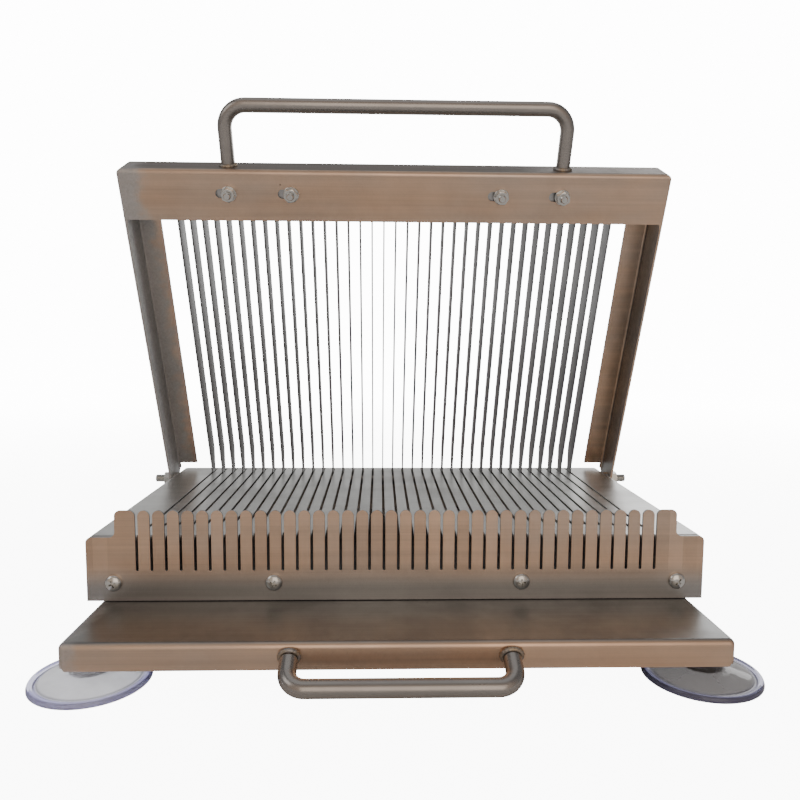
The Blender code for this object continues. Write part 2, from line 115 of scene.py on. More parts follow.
FASTENER_PLACES = ("left_outer", "left_inner", "right_inner", "right_outer")
BED_BACK_STRIP = 5.5 * MM       # the bed's slots stop this far from its back
THREAD = 2.4 * MM               # radius of the screws, bolts and studs
HINGE_ROD = 3 * MM              # radius of the hinge rod
HINGE_COLLAR = 5 * MM
ARM_CORNER = 11 * MM            # rounding of the lid's arms behind the hinge, above and below
ARM_FOOT = 4 * MM
CUP_HUB_TOP = 13.6 * MM
SAME = 1e-6                     # two levels this close are one level


# Settings that a user can change

def length(name, description, default):
    return bpy.props.FloatProperty(name=name, description=description, default=default, min=0.0,
                                   unit="LENGTH", subtype="DISTANCE", precision=4)


def colour(name, description, default):
    return bpy.props.FloatVectorProperty(name=name, description=description, default=default, size=3,
                                         min=0.0, max=1.0, subtype="COLOR")


class SlicerSizes(bpy.types.PropertyGroup):
    """Sizes of the sheet, slots, blades and bars."""
    sheet: length("Sheet", "Thickness of the folded sheet steel", 1.5 * MM)
    bend: length("Bend radius", "Outer radius of the folded corners", 3 * MM)
    edge: length("Edge break", "Width of the rounding on cut sheet edges", 0.22 * MM)
    pitch: length("Blade pitch", "Distance from blade to blade", 8 * MM)
    blade: length("Blade thickness", "Thickness of a blade", 1.0 * MM)
    grind: length("Blade grind", "Height of the ground cutting edge", 1.6 * MM)
    bed_slot: length("Bed slot", "Width of the slots in the bed", 1.6 * MM)
    comb_slot: length("Comb slot", "Width of the slots between comb teeth", 1.4 * MM)
    slot_drop: length("Slot depth", "Depth of the comb slots below the bed", 19 * MM)
    tooth_zone: length("Tooth zone", "Half width of the raised teeth", 156 * MM)
    bar: length("Handle bar", "Radius of the round bar of both handles", 4.5 * MM)
    weld: length("Weld bead", "Radius of the weld bead round each handle foot", 1.3 * MM)
    cup: length("Suction cup", "Radius of a suction cup", 30 * MM)


class SlicerColours(bpy.types.PropertyGroup):
    """Colours of the steel, vinyl and floor."""
    steel: colour("Sheet steel", "Brushed sheet steel", (0.50, 0.50, 0.49))
    # Painted warm reflection of the room in front, laid on sheet faces that look forward.
    warm_reflection: colour("Straw tint", "Sheet steel where it is warm toned", (0.80, 0.55, 0.385))
    blade: colour("Blade steel", "Ground blade steel", (0.46, 0.46, 0.46))
    bar: colour("Bar steel", "Satin round bar", (0.44, 0.41, 0.385))
    plated: colour("Plated parts", "Screws, nuts and washers", (0.74, 0.73, 0.70))
    vinyl: colour("Vinyl", "Clear vinyl of the suction cups", (0.93, 0.94, 0.985))
    vinyl_haze: colour("Vinyl haze", "Hazy patches of the suction cups", (0.80, 0.81, 0.84))
    # Painted shade on the right-hand cups, which lie in the shadow of the base.
    vinyl_painted_shade: colour("Vinyl smoke", "Smokier right-hand suction cups", (0.26, 0.25, 0.25))
    vinyl_rim: colour("Vinyl rim", "Thicker rim of the suction cups", (0.60, 0.59, 0.90))
    floor: colour("Floor", "Plain floor", (0.93, 0.93, 0.93))


# Mesh helpers

def add_box(bm, low, high):
    low, high = Vector(low), Vector(high)
    made = bmesh.ops.create_cube(bm, size=1.0)["verts"]
    bmesh.ops.scale(bm, vec=high - low, verts=made)
    bmesh.ops.translate(bm, vec=(low + high) / 2, verts=made)
    return made


def slice_at(bm, point, normal, clear=False):
    """Cuts every face along a plane, and drops what is in front of it if clear is set."""
    bmesh.ops.bisect_plane(bm, geom=[*bm.verts, *bm.edges, *bm.faces], dist=1e-7, plane_co=point,
                           plane_no=normal, clear_outer=clear)


def drop_faces(bm, test):
    doomed = [face for face in bm.faces if test(face.calc_center_median(), face.normal)]
    bmesh.ops.delete(bm, geom=doomed, context="FACES")


def soften(bm, edges, radius, segments=5):
    bmesh.ops.bevel(bm, geom=edges, offset=radius, offset_type="OFFSET", segments=segments, profile=0.5,
                    affect="EDGES", clamp_overlap=True, material=-1)


def round_corners(bm, corners, radius, segments=6):
    bmesh.ops.bevel(bm, geom=corners, offset=radius, offset_type="OFFSET", segments=segments, profile=0.5,
                    affect="VERTICES", clamp_overlap=True, material=-1)


def arc(radius, start, end, steps):
    """Points of an arc about the origin, with its angles in degrees."""
    angles = [radians(start + (end - start) * i / steps) for i in range(steps + 1)]
    return [(radius * cos(a), radius * sin(a)) for a in angles]


def dome(radius, base, rise, steps):
    """Half of a domed head as (radius, height) points, from its crown to its rim."""
    angles = [pi / 2 * (1 - i / steps) for i in range(steps + 1)]
    return [(radius * cos(a), base + rise * sin(a)) for a in angles]


def turned(bm, profile, steps=40, matrix=Matrix.Identity(4)):
    """A solid of revolution about local Z from (radius, height) points that run down its outer side."""
    before = set(bm.verts)
    points = [bm.verts.new((radius, 0, height)) for radius, height in profile]
    edges = [bm.edges.new(pair) for pair in zip(points, points[1:])]
    bmesh.ops.spin(bm, geom=[*points, *edges], cent=(0, 0, 0), axis=(0, 0, 1), angle=2 * pi, steps=steps,
                   use_merge=True)
    made = [vert for vert in bm.verts if vert not in before]
    bmesh.ops.remove_doubles(bm, verts=made, dist=1e-6)
    made = [vert for vert in bm.verts if vert not in before]
    bmesh.ops.recalc_face_normals(bm, faces=list({face for vert in made for face in vert.link_faces}))
    bmesh.ops.transform(bm, matrix=matrix, verts=made)
    return made


def finish_piece(name, bm, material, body, stands_for=(), wall=0.0, edge=0.0, sharp=0.0):
    """Makes the piece's object, gives it its wall and edge breaks, and lets it ride on its body."""
    mesh = bpy.data.meshes.new(name)
    bm.to_mesh(mesh)
    bm.free()
    mesh.shade_smooth()
    if sharp:
        mesh.set_sharp_from_angle(angle=radians(sharp))
    mesh.materials.append(material)
    piece = bpy.data.objects.new(name, mesh)
    bpy.context.scene.collection.objects.link(piece)
    if wall:
        sheet = piece.modifiers.new("Sheet", "SOLIDIFY")
        sheet.thickness = wall
        sheet.offset = -1
        sheet.use_even_offset = True
    if edge:
        rounding = piece.modifiers.new("Edge break", "BEVEL")
        rounding.width = edge
        rounding.segments = 2
        rounding.limit_method = "ANGLE"
        rounding.angle_limit = radians(32)
    if wall or edge:
        flats = piece.modifiers.new("Flat faces", "WEIGHTED_NORMAL")
        flats.mode = "FACE_AREA"
        flats.keep_sharp = bool(sharp)
    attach(piece, body)
    if stands_for:
        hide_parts(*stands_for)
    return piece


def carve(piece, tool, operation="DIFFERENCE"):
    """Cuts a piece after it has its wall, and keeps the result as the piece's own mesh."""
    mesh = bpy.data.meshes.new("carving_tool")
    tool.to_mesh(mesh)
    tool.free()
    cutter = bpy.data.objects.new("carving_tool", mesh)
    bpy.context.scene.collection.objects.link(cutter)
    cut = piece.modifiers.new("Carve", "BOOLEAN")
    cut.operation = operation
    cut.solver = "EXACT"
    cut.object = cutter
    later = [mod for mod in piece.modifiers if mod.type in {"BEVEL", "WEIGHTED_NORMAL"}]
    piece.modifiers.move(len(piece.modifiers) - 1, len(piece.modifiers) - 1 - len(later))
    for mod in later:
        mod.show_viewport = False
    bpy.context.view_layer.update()
    graph = bpy.context.evaluated_depsgraph_get()
    carved = bpy.data.meshes.new_from_object(piece.evaluated_get(graph))
    for mod in list(piece.modifiers):
        if mod in later:
            mod.show_viewport = True
        else:
            piece.modifiers.remove(mod)
    carved.name = piece.name
    piece.data = carved
    bpy.data.objects.remove(cutter)
    return piece


# Shader helpers and shared effects

def node(tree, kind, **settings):
    made = tree.nodes.new(kind)
    for key, value in settings.items():
        setattr(made, key, value)
    return made


def feed(tree, socket, source):
    """Links a socket to another, or sets its value."""
    if isinstance(source, bpy.types.NodeSocket):
        tree.links.new(source, socket)
    else:
        socket.default_value = source


def math(tree, operation, first, second=0.0, third=0.0, clamp=False):
    made = node(tree, "ShaderNodeMath", operation=operation, use_clamp=clamp)
    for socket, source in zip(made.inputs, (first, second, third)):
        feed(tree, socket, source)
    return made.outputs[0]


def between(tree, value, low, high, to_low=0.0, to_high=1.0):
    made = node(tree, "ShaderNodeMapRange", interpolation_type="SMOOTHSTEP")
    for socket, source in zip(made.inputs[:5], (value, low, high, to_low, to_high)):
        feed(tree, socket, source)
    return made.outputs[0]


def blend_colour(tree, factor, first, second, mode="MIX"):
    made = node(tree, "ShaderNodeMix", data_type="RGBA", blend_type=mode)
    feed(tree, made.inputs[0], factor)
    feed(tree, made.inputs[6], first)
    feed(tree, made.inputs[7], second)
    return made.outputs[2]


def noise(tree, vector, scale, detail=3.0, roughness=0.55):
    made = node(tree, "ShaderNodeTexNoise")
    feed(tree, made.inputs["Vector"], vector)
    feed(tree, made.inputs["Scale"], scale)
    feed(tree, made.inputs["Detail"], detail)
    feed(tree, made.inputs["Roughness"], roughness)
    return made.outputs[0]


def stretch(tree, vector, scale):
    made = node(tree, "ShaderNodeMapping")
    feed(tree, made.inputs["Vector"], vector)
    feed(tree, made.inputs["Scale"], scale)
    return made.outputs[0]


def parts_of(tree, vector):
    """The X, Y and Z of a vector."""
    made = node(tree, "ShaderNodeSeparateXYZ")
    feed(tree, made.inputs[0], vector)
    return made.outputs


def grey(tree, level):
    made = node(tree, "ShaderNodeCombineColor")
    for socket in made.inputs:
        feed(tree, socket, level)
    return made.outputs[0]


def new_group(name, inputs, outputs):
    group = bpy.data.node_groups.new(name, "ShaderNodeTree")
    kinds = {"vector": "NodeSocketVector", "float": "NodeSocketFloat", "colour": "NodeSocketColor"}
    for label, kind in inputs:
        group.interface.new_socket(name=label, in_out="INPUT", socket_type=kinds[kind])
    for label, kind in outputs:
        group.interface.new_socket(name=label, in_out="OUTPUT", socket_type=kinds[kind])
    return group, node(group, "NodeGroupInput"), node(group, "NodeGroupOutput")


def place_group(tree, group, **inputs):
    made = node(tree, "ShaderNodeGroup", node_tree=group)
    for key, source in inputs.items():
        feed(tree, made.inputs[key], source)
    return made.outputs


def grain_group():
    """Brush lines along X, turned upright on faces that look sideways."""
    found = bpy.data.node_groups.get("brush_grain")
    if found:
        return found
    tree, given, result = new_group("brush_grain", [("Place", "vector"), ("Facing", "vector")],
                                    [("Lines", "float"), ("Streaks", "float")])
    along = stretch(tree, given.outputs["Place"], (9.0, 1500.0, 1500.0))
    across = stretch(tree, given.outputs["Place"], (9.0, 1500.0, 9.0))
    facing_x = parts_of(tree, given.outputs["Facing"])[0]
    sideways = math(tree, "GREATER_THAN", math(tree, "ABSOLUTE", facing_x), 0.7)
    pick = node(tree, "ShaderNodeMix", data_type="VECTOR")
    feed(tree, pick.inputs[0], sideways)
    feed(tree, pick.inputs[4], along)
    feed(tree, pick.inputs[5], across)
    fine = noise(tree, pick.outputs[1], 1.0, 4.0, 0.7)
    wide = noise(tree, stretch(tree, pick.outputs[1], (0.45, 0.12, 0.12)), 1.0, 3.0, 0.6)
    feed(tree, result.inputs["Lines"], fine)
    feed(tree, result.inputs["Streaks"], wide)
    return tree


def handling_group():
    """Soft cloudy smudges and a few small dark specks."""
    found = bpy.data.node_groups.get("handling_marks")
    if found:
        return found
    tree, given, result = new_group("handling_marks", [("Place", "vector")],
                                    [("Smudge", "float"), ("Specks", "float")])
    clouds = noise(tree, given.outputs["Place"], 26.0, 5.0, 0.6)
    feed(tree, result.inputs["Smudge"], between(tree, clouds, 0.38, 0.66))
    cells = node(tree, "ShaderNodeTexVoronoi")
    feed(tree, cells.inputs["Vector"], given.outputs["Place"])
    feed(tree, cells.inputs["Scale"], 60.0)
    near = between(tree, cells.outputs["Distance"], 0.02, 0.055, 1.0, 0.0)
    rare = math(tree, "GREATER_THAN", noise(tree, given.outputs["Place"], 41.0, 0.0), 0.6)
    feed(tree, result.inputs["Specks"], math(tree, "MULTIPLY", near, rare))
    return tree


def start_material(name):
    mat = bpy.data.materials.new(name)
    mat.use_nodes = True
    tree = mat.node_tree
    return mat, tree, tree.nodes["Principled BSDF"], node(tree, "ShaderNodeTexCoord")


def bump(tree, shader, height, distance, strength=1.0):
    made = node(tree, "ShaderNodeBump")
    feed(tree, made.inputs["Strength"], strength)
    feed(tree, made.inputs["Distance"], distance)
    feed(tree, made.inputs["Height"], height)
    tree.links.new(made.outputs[0], shader.inputs["Normal"])


def tone_teeth(tree, where, warm_reflection, level, change):
    """Strengthens the painted warm reflection and lightens the comb towards its teeth, so that lower down it
    is darker as a painted reflection of the dark ledge, and sets each tooth a little apart from the next.
    """
    x, _, z = parts_of(tree, where)
    upper = between(tree, z, BED_TOP - 30 * MM, BED_TOP - 14 * MM)
    raised = between(tree, z, BED_TOP - 22 * MM, BED_TOP - 16 * MM)
    tooth = math(tree, "FLOOR", math(tree, "DIVIDE", x, bpy.context.scene.slicer_sizes.pitch))
    random = node(tree, "ShaderNodeTexWhiteNoise", noise_dimensions="1D")
    feed(tree, random.inputs["W"], tooth)
    shift = math(tree, "MULTIPLY", math(tree, "SUBTRACT", random.outputs[0], 0.5), change)
    level = math(tree, "MULTIPLY_ADD", shift, raised, level)
    # Darker lower down: painted reflection of the dark ledge in front of it.
    level = math(tree, "MULTIPLY", level, math(tree, "MULTIPLY_ADD", upper, 0.2, 0.8))
    # The painted warm reflection fades lower down.
    return math(tree, "MULTIPLY", warm_reflection, math(tree, "MULTIPLY_ADD", upper, 0.9, 0.1)), level


def grind_patch(tree, where, tone, rough, full, gone, strength):
    """A pale matt patch round a corner weld, at full strength up to one X and faded out at another."""
    ragged = math(tree, "MULTIPLY_ADD", noise(tree, where, 70.0, 4.0), 22 * MM, parts_of(tree, where)[0])
    patch = math(tree, "MULTIPLY", between(tree, ragged, gone, full), strength)
    scratches = noise(tree, stretch(tree, where, (700.0, 500.0, 700.0)), 1.0, 4.0, 0.7)
    pale = grey(tree, math(tree, "MULTIPLY_ADD", scratches, 0.3, 0.42))
    return blend_colour(tree, patch, tone, pale), math(tree, "MULTIPLY_ADD", patch, 0.25, rough)


# The frame's own materials hold the names sheet_steel, blade_steel, plated_hardware and clear_vinyl, so the
# materials made here take other names.

def sheet_steel(name, reflection_warmth=1.0, top=1.0, tooth_tone=0.0, weld_patch=None):
    """Brushed sheet: grain, wide streaks, smudges, a painted warm reflection on faces that look forward, and
    painted shade and light that make its other faces darker or lighter by top.
    """
    found = bpy.data.materials.get(name)
    if found:
        return found
    colours = bpy.context.scene.slicer_colours
    mat, tree, shader, place = start_material(name)
    where, facing = place.outputs["Object"], place.outputs["Normal"]
    grain = place_group(tree, grain_group(), Place=where, Facing=facing)
    marks = place_group(tree, handling_group(), Place=where)
    # Faces that look forward get a painted warm reflection, mottled by clouds.
    forward = between(tree, math(tree, "MULTIPLY", parts_of(tree, facing)[1], -1.0), 0.15, 0.85)
    clouds = noise(tree, stretch(tree, where, (9.0, 22.0, 22.0)), 1.0, 3.0)
    warm_reflection = math(tree, "MULTIPLY", forward, between(tree, clouds, 0.2, 0.75, 0.55 * reflection_warmth, reflection_warmth))
    level = math(tree, "MULTIPLY_ADD", grain["Streaks"], 0.36, 0.82)
    # Faces that do not look forward are made darker or lighter by top: painted shade and light.
    level = math(tree, "MULTIPLY", level, between(tree, forward, 0.0, 1.0, top, 1.0))
    level = math(tree, "MULTIPLY_ADD", grain["Lines"], 0.22, math(tree, "SUBTRACT", level, 0.11))
    level = math(tree, "MULTIPLY_ADD", marks["Smudge"], -0.07, level)
    level = math(tree, "MULTIPLY_ADD", marks["Specks"], -0.45, level)
    if tooth_tone:
        warm_reflection, level = tone_teeth(tree, where, warm_reflection, level, tooth_tone)
    tone = blend_colour(tree, warm_reflection, (*colours.steel, 1), (*colours.warm_reflection, 1))
    tone = blend_colour(tree, 1.0, tone, grey(tree, level), "MULTIPLY")
    rough = math(tree, "MULTIPLY_ADD", grain["Streaks"], 0.16, 0.26)
    rough = math(tree, "MULTIPLY_ADD", marks["Smudge"], 0.07, rough)
    if weld_patch:
        tone, rough = grind_patch(tree, where, tone, rough, *weld_patch)
    feed(tree, shader.inputs["Base Color"], tone)
    feed(tree, shader.inputs["Roughness"], rough)
    feed(tree, shader.inputs["Metallic"], 1.0)
    height = math(tree, "MULTIPLY_ADD", grain["Streaks"], 0.6, grain["Lines"])
    bump(tree, shader, height, 0.016 * MM)
    return mat


def body_sheet():
    # Weaker painted warm reflection; the bed's other faces are made lighter by top, as painted light.
    return sheet_steel("bed_sheet", reflection_warmth=0.25, top=1.3)


def bare_steel(name, tint, base_rough, scratch=(40.0, 900.0, 900.0), depth=0.006 * MM, graze=1.0):
    """Clean metal with fine lines and faint smudges; graze is its tone where it is seen almost edge-on."""
    found = bpy.data.materials.get(name)
    if found:
        return found
    mat, tree, shader, place = start_material(name)
    where = place.outputs["Object"]
    lines = noise(tree, stretch(tree, where, scratch), 1.0, 4.0, 0.65)
    marks = place_group(tree, handling_group(), Place=where)
    level = math(tree, "MULTIPLY_ADD", lines, 0.24, 0.88)
    level = math(tree, "MULTIPLY_ADD", marks["Smudge"], -0.06, level)
    tone = blend_colour(tree, 1.0, (*tint, 1), grey(tree, level), "MULTIPLY")
    rough = math(tree, "MULTIPLY_ADD", lines, 0.12, base_rough - 0.06)
    rough = math(tree, "MULTIPLY_ADD", marks["Smudge"], 0.06, rough)
    feed(tree, shader.inputs["Base Color"], tone)
    feed(tree, shader.inputs["Roughness"], rough)
    feed(tree, shader.inputs["Specular Tint"], (graze, graze, graze, 1))
    feed(tree, shader.inputs["Metallic"], 1.0)
    bump(tree, shader, lines, depth)
    return mat


def plated_steel():
    """Screws, nuts, washers and the hinge rod."""
    return bare_steel("plated_steel", bpy.context.scene.slicer_colours.plated, 0.2, (500, 500, 500))


def weld_steel():
    """Weld metal: grey, grainy, with yellow-brown heat colours."""
    found = bpy.data.materials.get("weld_metal")
    if found:
        return found
    mat, tree, shader, place = start_material("weld_metal")
    where = place.outputs["Object"]
    heat = noise(tree, where, 210.0, 2.0)
    tone = blend_colour(tree, between(tree, heat, 0.35, 0.7), (0.40, 0.38, 0.37, 1), (0.46, 0.37, 0.27, 1))
    feed(tree, shader.inputs["Base Color"], tone)
    feed(tree, shader.inputs["Metallic"], 1.0)
    grit = noise(tree, where, 1400.0, 3.0)
    feed(tree, shader.inputs["Roughness"], math(tree, "MULTIPLY_ADD", grit, 0.3, 0.3))
    bump(tree, shader, grit, 0.05 * MM)
    return mat


def soft_vinyl():
    """Hazy clear vinyl with a violet rim, painted shade in the fold inside it, and painted shade that darkens
    the right-hand cups and their rims.
    """
    found = bpy.data.materials.get("soft_vinyl")
    if found:
        return found
    colours = bpy.context.scene.slicer_colours
    mat, tree, shader, place = start_material("soft_vinyl")
    where = place.outputs["Object"]
    haze = noise(tree, where, 90.0, 3.0)
    # Cups to the right get painted shade on their cone and rim.
    right_cup_shade = between(tree, parts_of(tree, where)[0], -50 * MM, 50 * MM)
    from_hub = node(tree, "ShaderNodeAttribute", attribute_name="from_hub").outputs["Fac"]
    edge = between(tree, from_hub, 0.84, 0.89)
    # Painted shade in the fold just inside the rim.
    crease_shade = math(tree, "MULTIPLY", between(tree, from_hub, 0.80, 0.84), between(tree, from_hub, 0.86, 0.84))
    cone = blend_colour(tree, between(tree, haze, 0.3, 0.75), (*colours.vinyl, 1), (*colours.vinyl_haze, 1))
    cone = blend_colour(tree, right_cup_shade, cone, (*colours.vinyl_painted_shade, 1))
    cone = blend_colour(tree, math(tree, "MULTIPLY", crease_shade, 0.7), cone, (0.25, 0.25, 0.30, 1))
    right_rim_shade = math(tree, "MULTIPLY", right_cup_shade, 0.75)
    rim = blend_colour(tree, right_rim_shade, (*colours.vinyl_rim, 1), (0.12, 0.12, 0.20, 1))
    feed(tree, shader.inputs["Base Color"], blend_colour(tree, edge, cone, rim))
    feed(tree, shader.inputs["Roughness"], math(tree, "MULTIPLY_ADD", haze, 0.10, 0.04))
    feed(tree, shader.inputs["IOR"], 1.5)
    feed(tree, shader.inputs["Transmission Weight"], 0.55)
    bump(tree, shader, noise(tree, where, 160.0, 2.0), 0.08 * MM)
    return mat


# Base pieces

def slot_lines():
    """The X of every blade and slot."""
    pitch = bpy.context.scene.slicer_sizes.pitch
    count = len(BLADE_NODES)
    return [(number - (count - 1) / 2) * pitch for number in range(count)]


def in_slot(x, width):
    return any(abs(x - line) < width / 2 for line in slot_lines())


def folded_box(low, high, bend):
    """An open-bottomed box with bent upper edges and corners."""
    bm = bmesh.new()
    add_box(bm, low, high)
    drop_faces(bm, lambda centre, normal: normal.z < -0.5)
    bends = [edge for edge in bm.edges if any(vert.co.z - low.z > SAME for vert in edge.verts)]
    soften(bm, bends, bend, 6)
    return bm


class MakeBed(bpy.types.Operator):
    """Folded body cover with the slotted bed"""
    bl_idname = "slicer.make_bed"
    bl_label = "Bed"

    def execute(self, context):
        sizes = context.scene.slicer_sizes
        bm = folded_box(BODY_LOW, BODY_HIGH, sizes.bend)
        slot_end = BODY_HIGH.y - BED_BACK_STRIP
        slot_foot = BED_TOP - sizes.slot_drop - GAP
        slice_at(bm, (0, slot_end, 0), (0, 1, 0))
        slice_at(bm, (0, 0, slot_foot), (0, 0, 1))
        for x in slot_lines():
            slice_at(bm, (x - sizes.bed_slot / 2, 0, 0), (1, 0, 0))
            slice_at(bm, (x + sizes.bed_slot / 2, 0, 0), (1, 0, 0))
        drop_faces(bm, lambda centre, normal: centre.y < slot_end and centre.z > slot_foot
                   and in_slot(centre.x, sizes.bed_slot))
        finish_piece("slotted_bed", bm, body_sheet(), "base", ["body_cover"],
                     wall=sizes.sheet, edge=sizes.edge)
        return {"FINISHED"}


class MakeBodyBase(bpy.types.Operator):
    """Finish of the flat frame inside the foot of the body"""
    bl_idname = "slicer.make_body_base"
    bl_label = "Body base"

    def execute(self, context):
        base = frame["nodes"]["body_base_frame"]
        base.data.materials.clear()
        base.data.materials.append(body_sheet())
        return {"FINISHED"}


class MakeComb(bpy.types.Operator):
    """Toothed comb plate on the front of the body"""
    bl_idname = "slicer.make_comb"
    bl_label = "Comb"

    def execute(self, context):
        sizes = context.scene.slicer_sizes
        bm = bmesh.new()
        add_box(bm, COMB_LOW, COMB_HIGH)
        drop_faces(bm, lambda centre, normal: normal.y > -0.5)
        slot_foot = BED_TOP - sizes.slot_drop
        slice_at(bm, (0, 0, slot_foot), (0, 0, 1))
        slice_at(bm, (0, 0, BED_TOP), (0, 0, 1))
        for x in slot_lines():
            slice_at(bm, (x - sizes.comb_slot / 2, 0, 0), (1, 0, 0))
            slice_at(bm, (x + sizes.comb_slot / 2, 0, 0), (1, 0, 0))
        for side in (-1, 1):
            slice_at(bm, (side * sizes.tooth_zone, 0, 0), (1, 0, 0))
        drop_faces(bm, lambda centre, normal: centre.z > slot_foot and in_slot(centre.x, sizes.comb_slot)
                   or centre.z > BED_TOP and abs(centre.x) > sizes.tooth_zone)
        bmesh.ops.dissolve_faces(bm, faces=bm.faces, use_verts=False)
        bmesh.ops.dissolve_limit(bm, angle_limit=radians(1), verts=bm.verts, edges=bm.edges)
        tip = (sizes.pitch - sizes.comb_slot) / 2
        ends = abs(slot_lines()[0]) + sizes.pitch / 2
        tips = [vert for vert in bm.verts if vert.co.z > COMB_HIGH.z - MM and abs(vert.co.x) < ends]
        round_corners(bm, tips, tip * 0.995, 7)
        blunt = [vert for vert in bm.verts
                 if vert.co.z > BED_TOP - MM and abs(vert.co.x) > sizes.tooth_zone - MM]
        round_corners(bm, blunt, sizes.bend, 6)
        feet = [vert for vert in bm.verts if abs(vert.co.z - slot_foot) < SAME]
        round_corners(bm, feet, sizes.comb_slot * 0.42, 3)
        finish_piece("toothed_comb", bm, sheet_steel("comb_sheet", tooth_tone=0.2), "base",
                     ["comb_plate"], wall=sizes.sheet, edge=sizes.edge)
        return {"FINISHED"}


class MakeTray(bpy.types.Operator):
    """Folded tray with its front ledge"""
    bl_idname = "slicer.make_tray"
    bl_label = "Tray"

    def execute(self, context):
        sizes = context.scene.slicer_sizes
        bm = folded_box(TRAY_LOW, TRAY_HIGH, sizes.bend)
        self.lift_corners(bm, sizes.bend)
        patch = (-TRAY_HIGH.x + 12 * MM, -TRAY_HIGH.x + 22 * MM, 0.6)
        # The tray's faces that do not look forward, the ledge top among them, are made darker by top: painted
        # shade.
        finish_piece("ledge_tray", bm, sheet_steel("tray_sheet", top=0.55, weld_patch=patch), "base",
                     ["base_tray"], wall=sizes.sheet, edge=sizes.edge)
        return {"FINISHED"}

    def lift_corners(self, bm, bend):
        """Rounds the lower edge of the ledge's two front corners upwards."""
        corner_x, corner_y = TRAY_HIGH.x - bend, TRAY_FRONT + bend
        lift = 2.4 * MM
        for vert in bm.verts:
            out = Vector((max(abs(vert.co.x) - corner_x, 0), max(corner_y - vert.co.y, 0))) / bend
            if vert.co.z - TRAY_LOW.z < SAME and out.x > 0 and out.y > 0:
                vert.co.z += lift * min(1.0, 2.2 * out.x * out.y)


def thread_profile(radius, top, bottom, pitch=0.8 * MM):
    """Outer side of a threaded end, from top to bottom."""
    points = []
    level = top
    while level - pitch > bottom:
        points += [(radius, level - 0.15 * pitch), (radius - 0.3 * MM, level - 0.6 * pitch)]
        level -= pitch
    return points


def recess_arm(depth, half_length, half_width, level, turn):
    """One tapered bar of a cross recess, pointing down from the given level."""
    tool = bmesh.new()
    made = add_box(tool, (-half_length, -half_width, level - depth),
                   (half_length, half_width, level + 2 * MM))
    low = [vert for vert in made if vert.co.z < level]
    bmesh.ops.scale(tool, vec=(0.45, 0.7, 1), verts=low)
    bmesh.ops.rotate(tool, cent=(0, 0, 0), matrix=Matrix.Rotation(turn, 3, "Z"), verts=made)
    return tool


class MakeCombScrews(bpy.types.Operator):
    """Pan head screws with cross recesses"""
    bl_idname = "slicer.make_comb_screws"
    bl_label = "Comb screws"

    def execute(self, context):
        steel = plated_steel()
        names = [f"comb_screw_{place}" for place in FASTENER_PLACES]
        head, rim, tip = 4.7 * MM, 0.15 * MM, -7 * MM
        profile = dome(head, 0.9 * MM, 2.3 * MM, 8)
        profile = [(0, profile[0][1]), *profile[1:], (head, rim), (THREAD, rim),
                   *thread_profile(THREAD, 0, tip), (1.7 * MM, tip), (0, tip)]
        for number, (name, x, turn) in enumerate(zip(names, COMB_SCREW_XS, (20, 62, 8, 47)), start=1):
            place = Matrix.Translation((x, COMB_FRONT, COMB_SCREW_Z)) @ Matrix.Rotation(pi / 2, 4, "X")
            place = place @ Matrix.Rotation(radians(turn), 4, "Z")
            bm = bmesh.new()
            turned(bm, profile, 32, place)
            screw = finish_piece(f"pan_screw_{number}", bm, steel, "base", [name],
                                 sharp=40)
            for quarter in (0, pi / 2):
                tool = recess_arm(2.0 * MM, 2.9 * MM, 0.55 * MM, 3.2 * MM, quarter)
                bmesh.ops.transform(tool, matrix=place, verts=tool.verts)
                carve(screw, tool)
            screw.data.set_sharp_from_angle(angle=radians(40))
        return {"FINISHED"}


def push(bm, edges, step):
    """Extrudes a ring of edges by a step, and returns the new ring."""
    made = bmesh.ops.extrude_edge_only(bm, edges=edges)["geom"]
    verts = [item for item in made if isinstance(item, bmesh.types.BMVert)]
    bmesh.ops.translate(bm, vec=step, verts=verts)
    return [item for item in made if isinstance(item, bmesh.types.BMEdge)
            and all(vert in verts for vert in item.verts)]


def swing(bm, edges, centre, steps=12):
    """Sweeps a ring of edges through a quarter turn about local Z."""
    made = bmesh.ops.spin(bm, geom=edges, cent=centre, axis=(0, 0, 1), angle=pi / 2, steps=steps,
                          use_merge=False, use_duplicate=False)["geom_last"]
    return [item for item in made if isinstance(item, bmesh.types.BMEdge)]


def bent_handle(matrix, half, reach, bend, foot):
    """A U of round bar in the local XY plane; its feet stand at (+-half, -foot) and it reaches to -Y."""
    radius = bpy.context.scene.slicer_sizes.bar
    bm = bmesh.new()
    start = Matrix.Translation((-half, -foot, 0)) @ Matrix.Rotation(pi / 2, 4, "X")
    ring = bmesh.ops.create_circle(bm, cap_ends=False, segments=32, radius=radius, matrix=start)["verts"]
    edges = list({edge for vert in ring for edge in vert.link_edges})
    leg = reach - bend - foot
    edges = push(bm, edges, (0, -leg, 0))
    edges = swing(bm, edges, (-half + bend, -foot - leg, 0))
    edges = push(bm, edges, (2 * (half - bend), 0, 0))
    edges = swing(bm, edges, (half - bend, -foot - leg, 0))
    push(bm, edges, (0, leg, 0))
    bmesh.ops.remove_doubles(bm, verts=bm.verts, dist=1e-6)
    bmesh.ops.holes_fill(bm, edges=[edge for edge in bm.edges if edge.is_boundary], sides=0)
    bmesh.ops.recalc_face_normals(bm, faces=bm.faces)
    bmesh.ops.transform(bm, matrix=matrix, verts=bm.verts)
    return bm


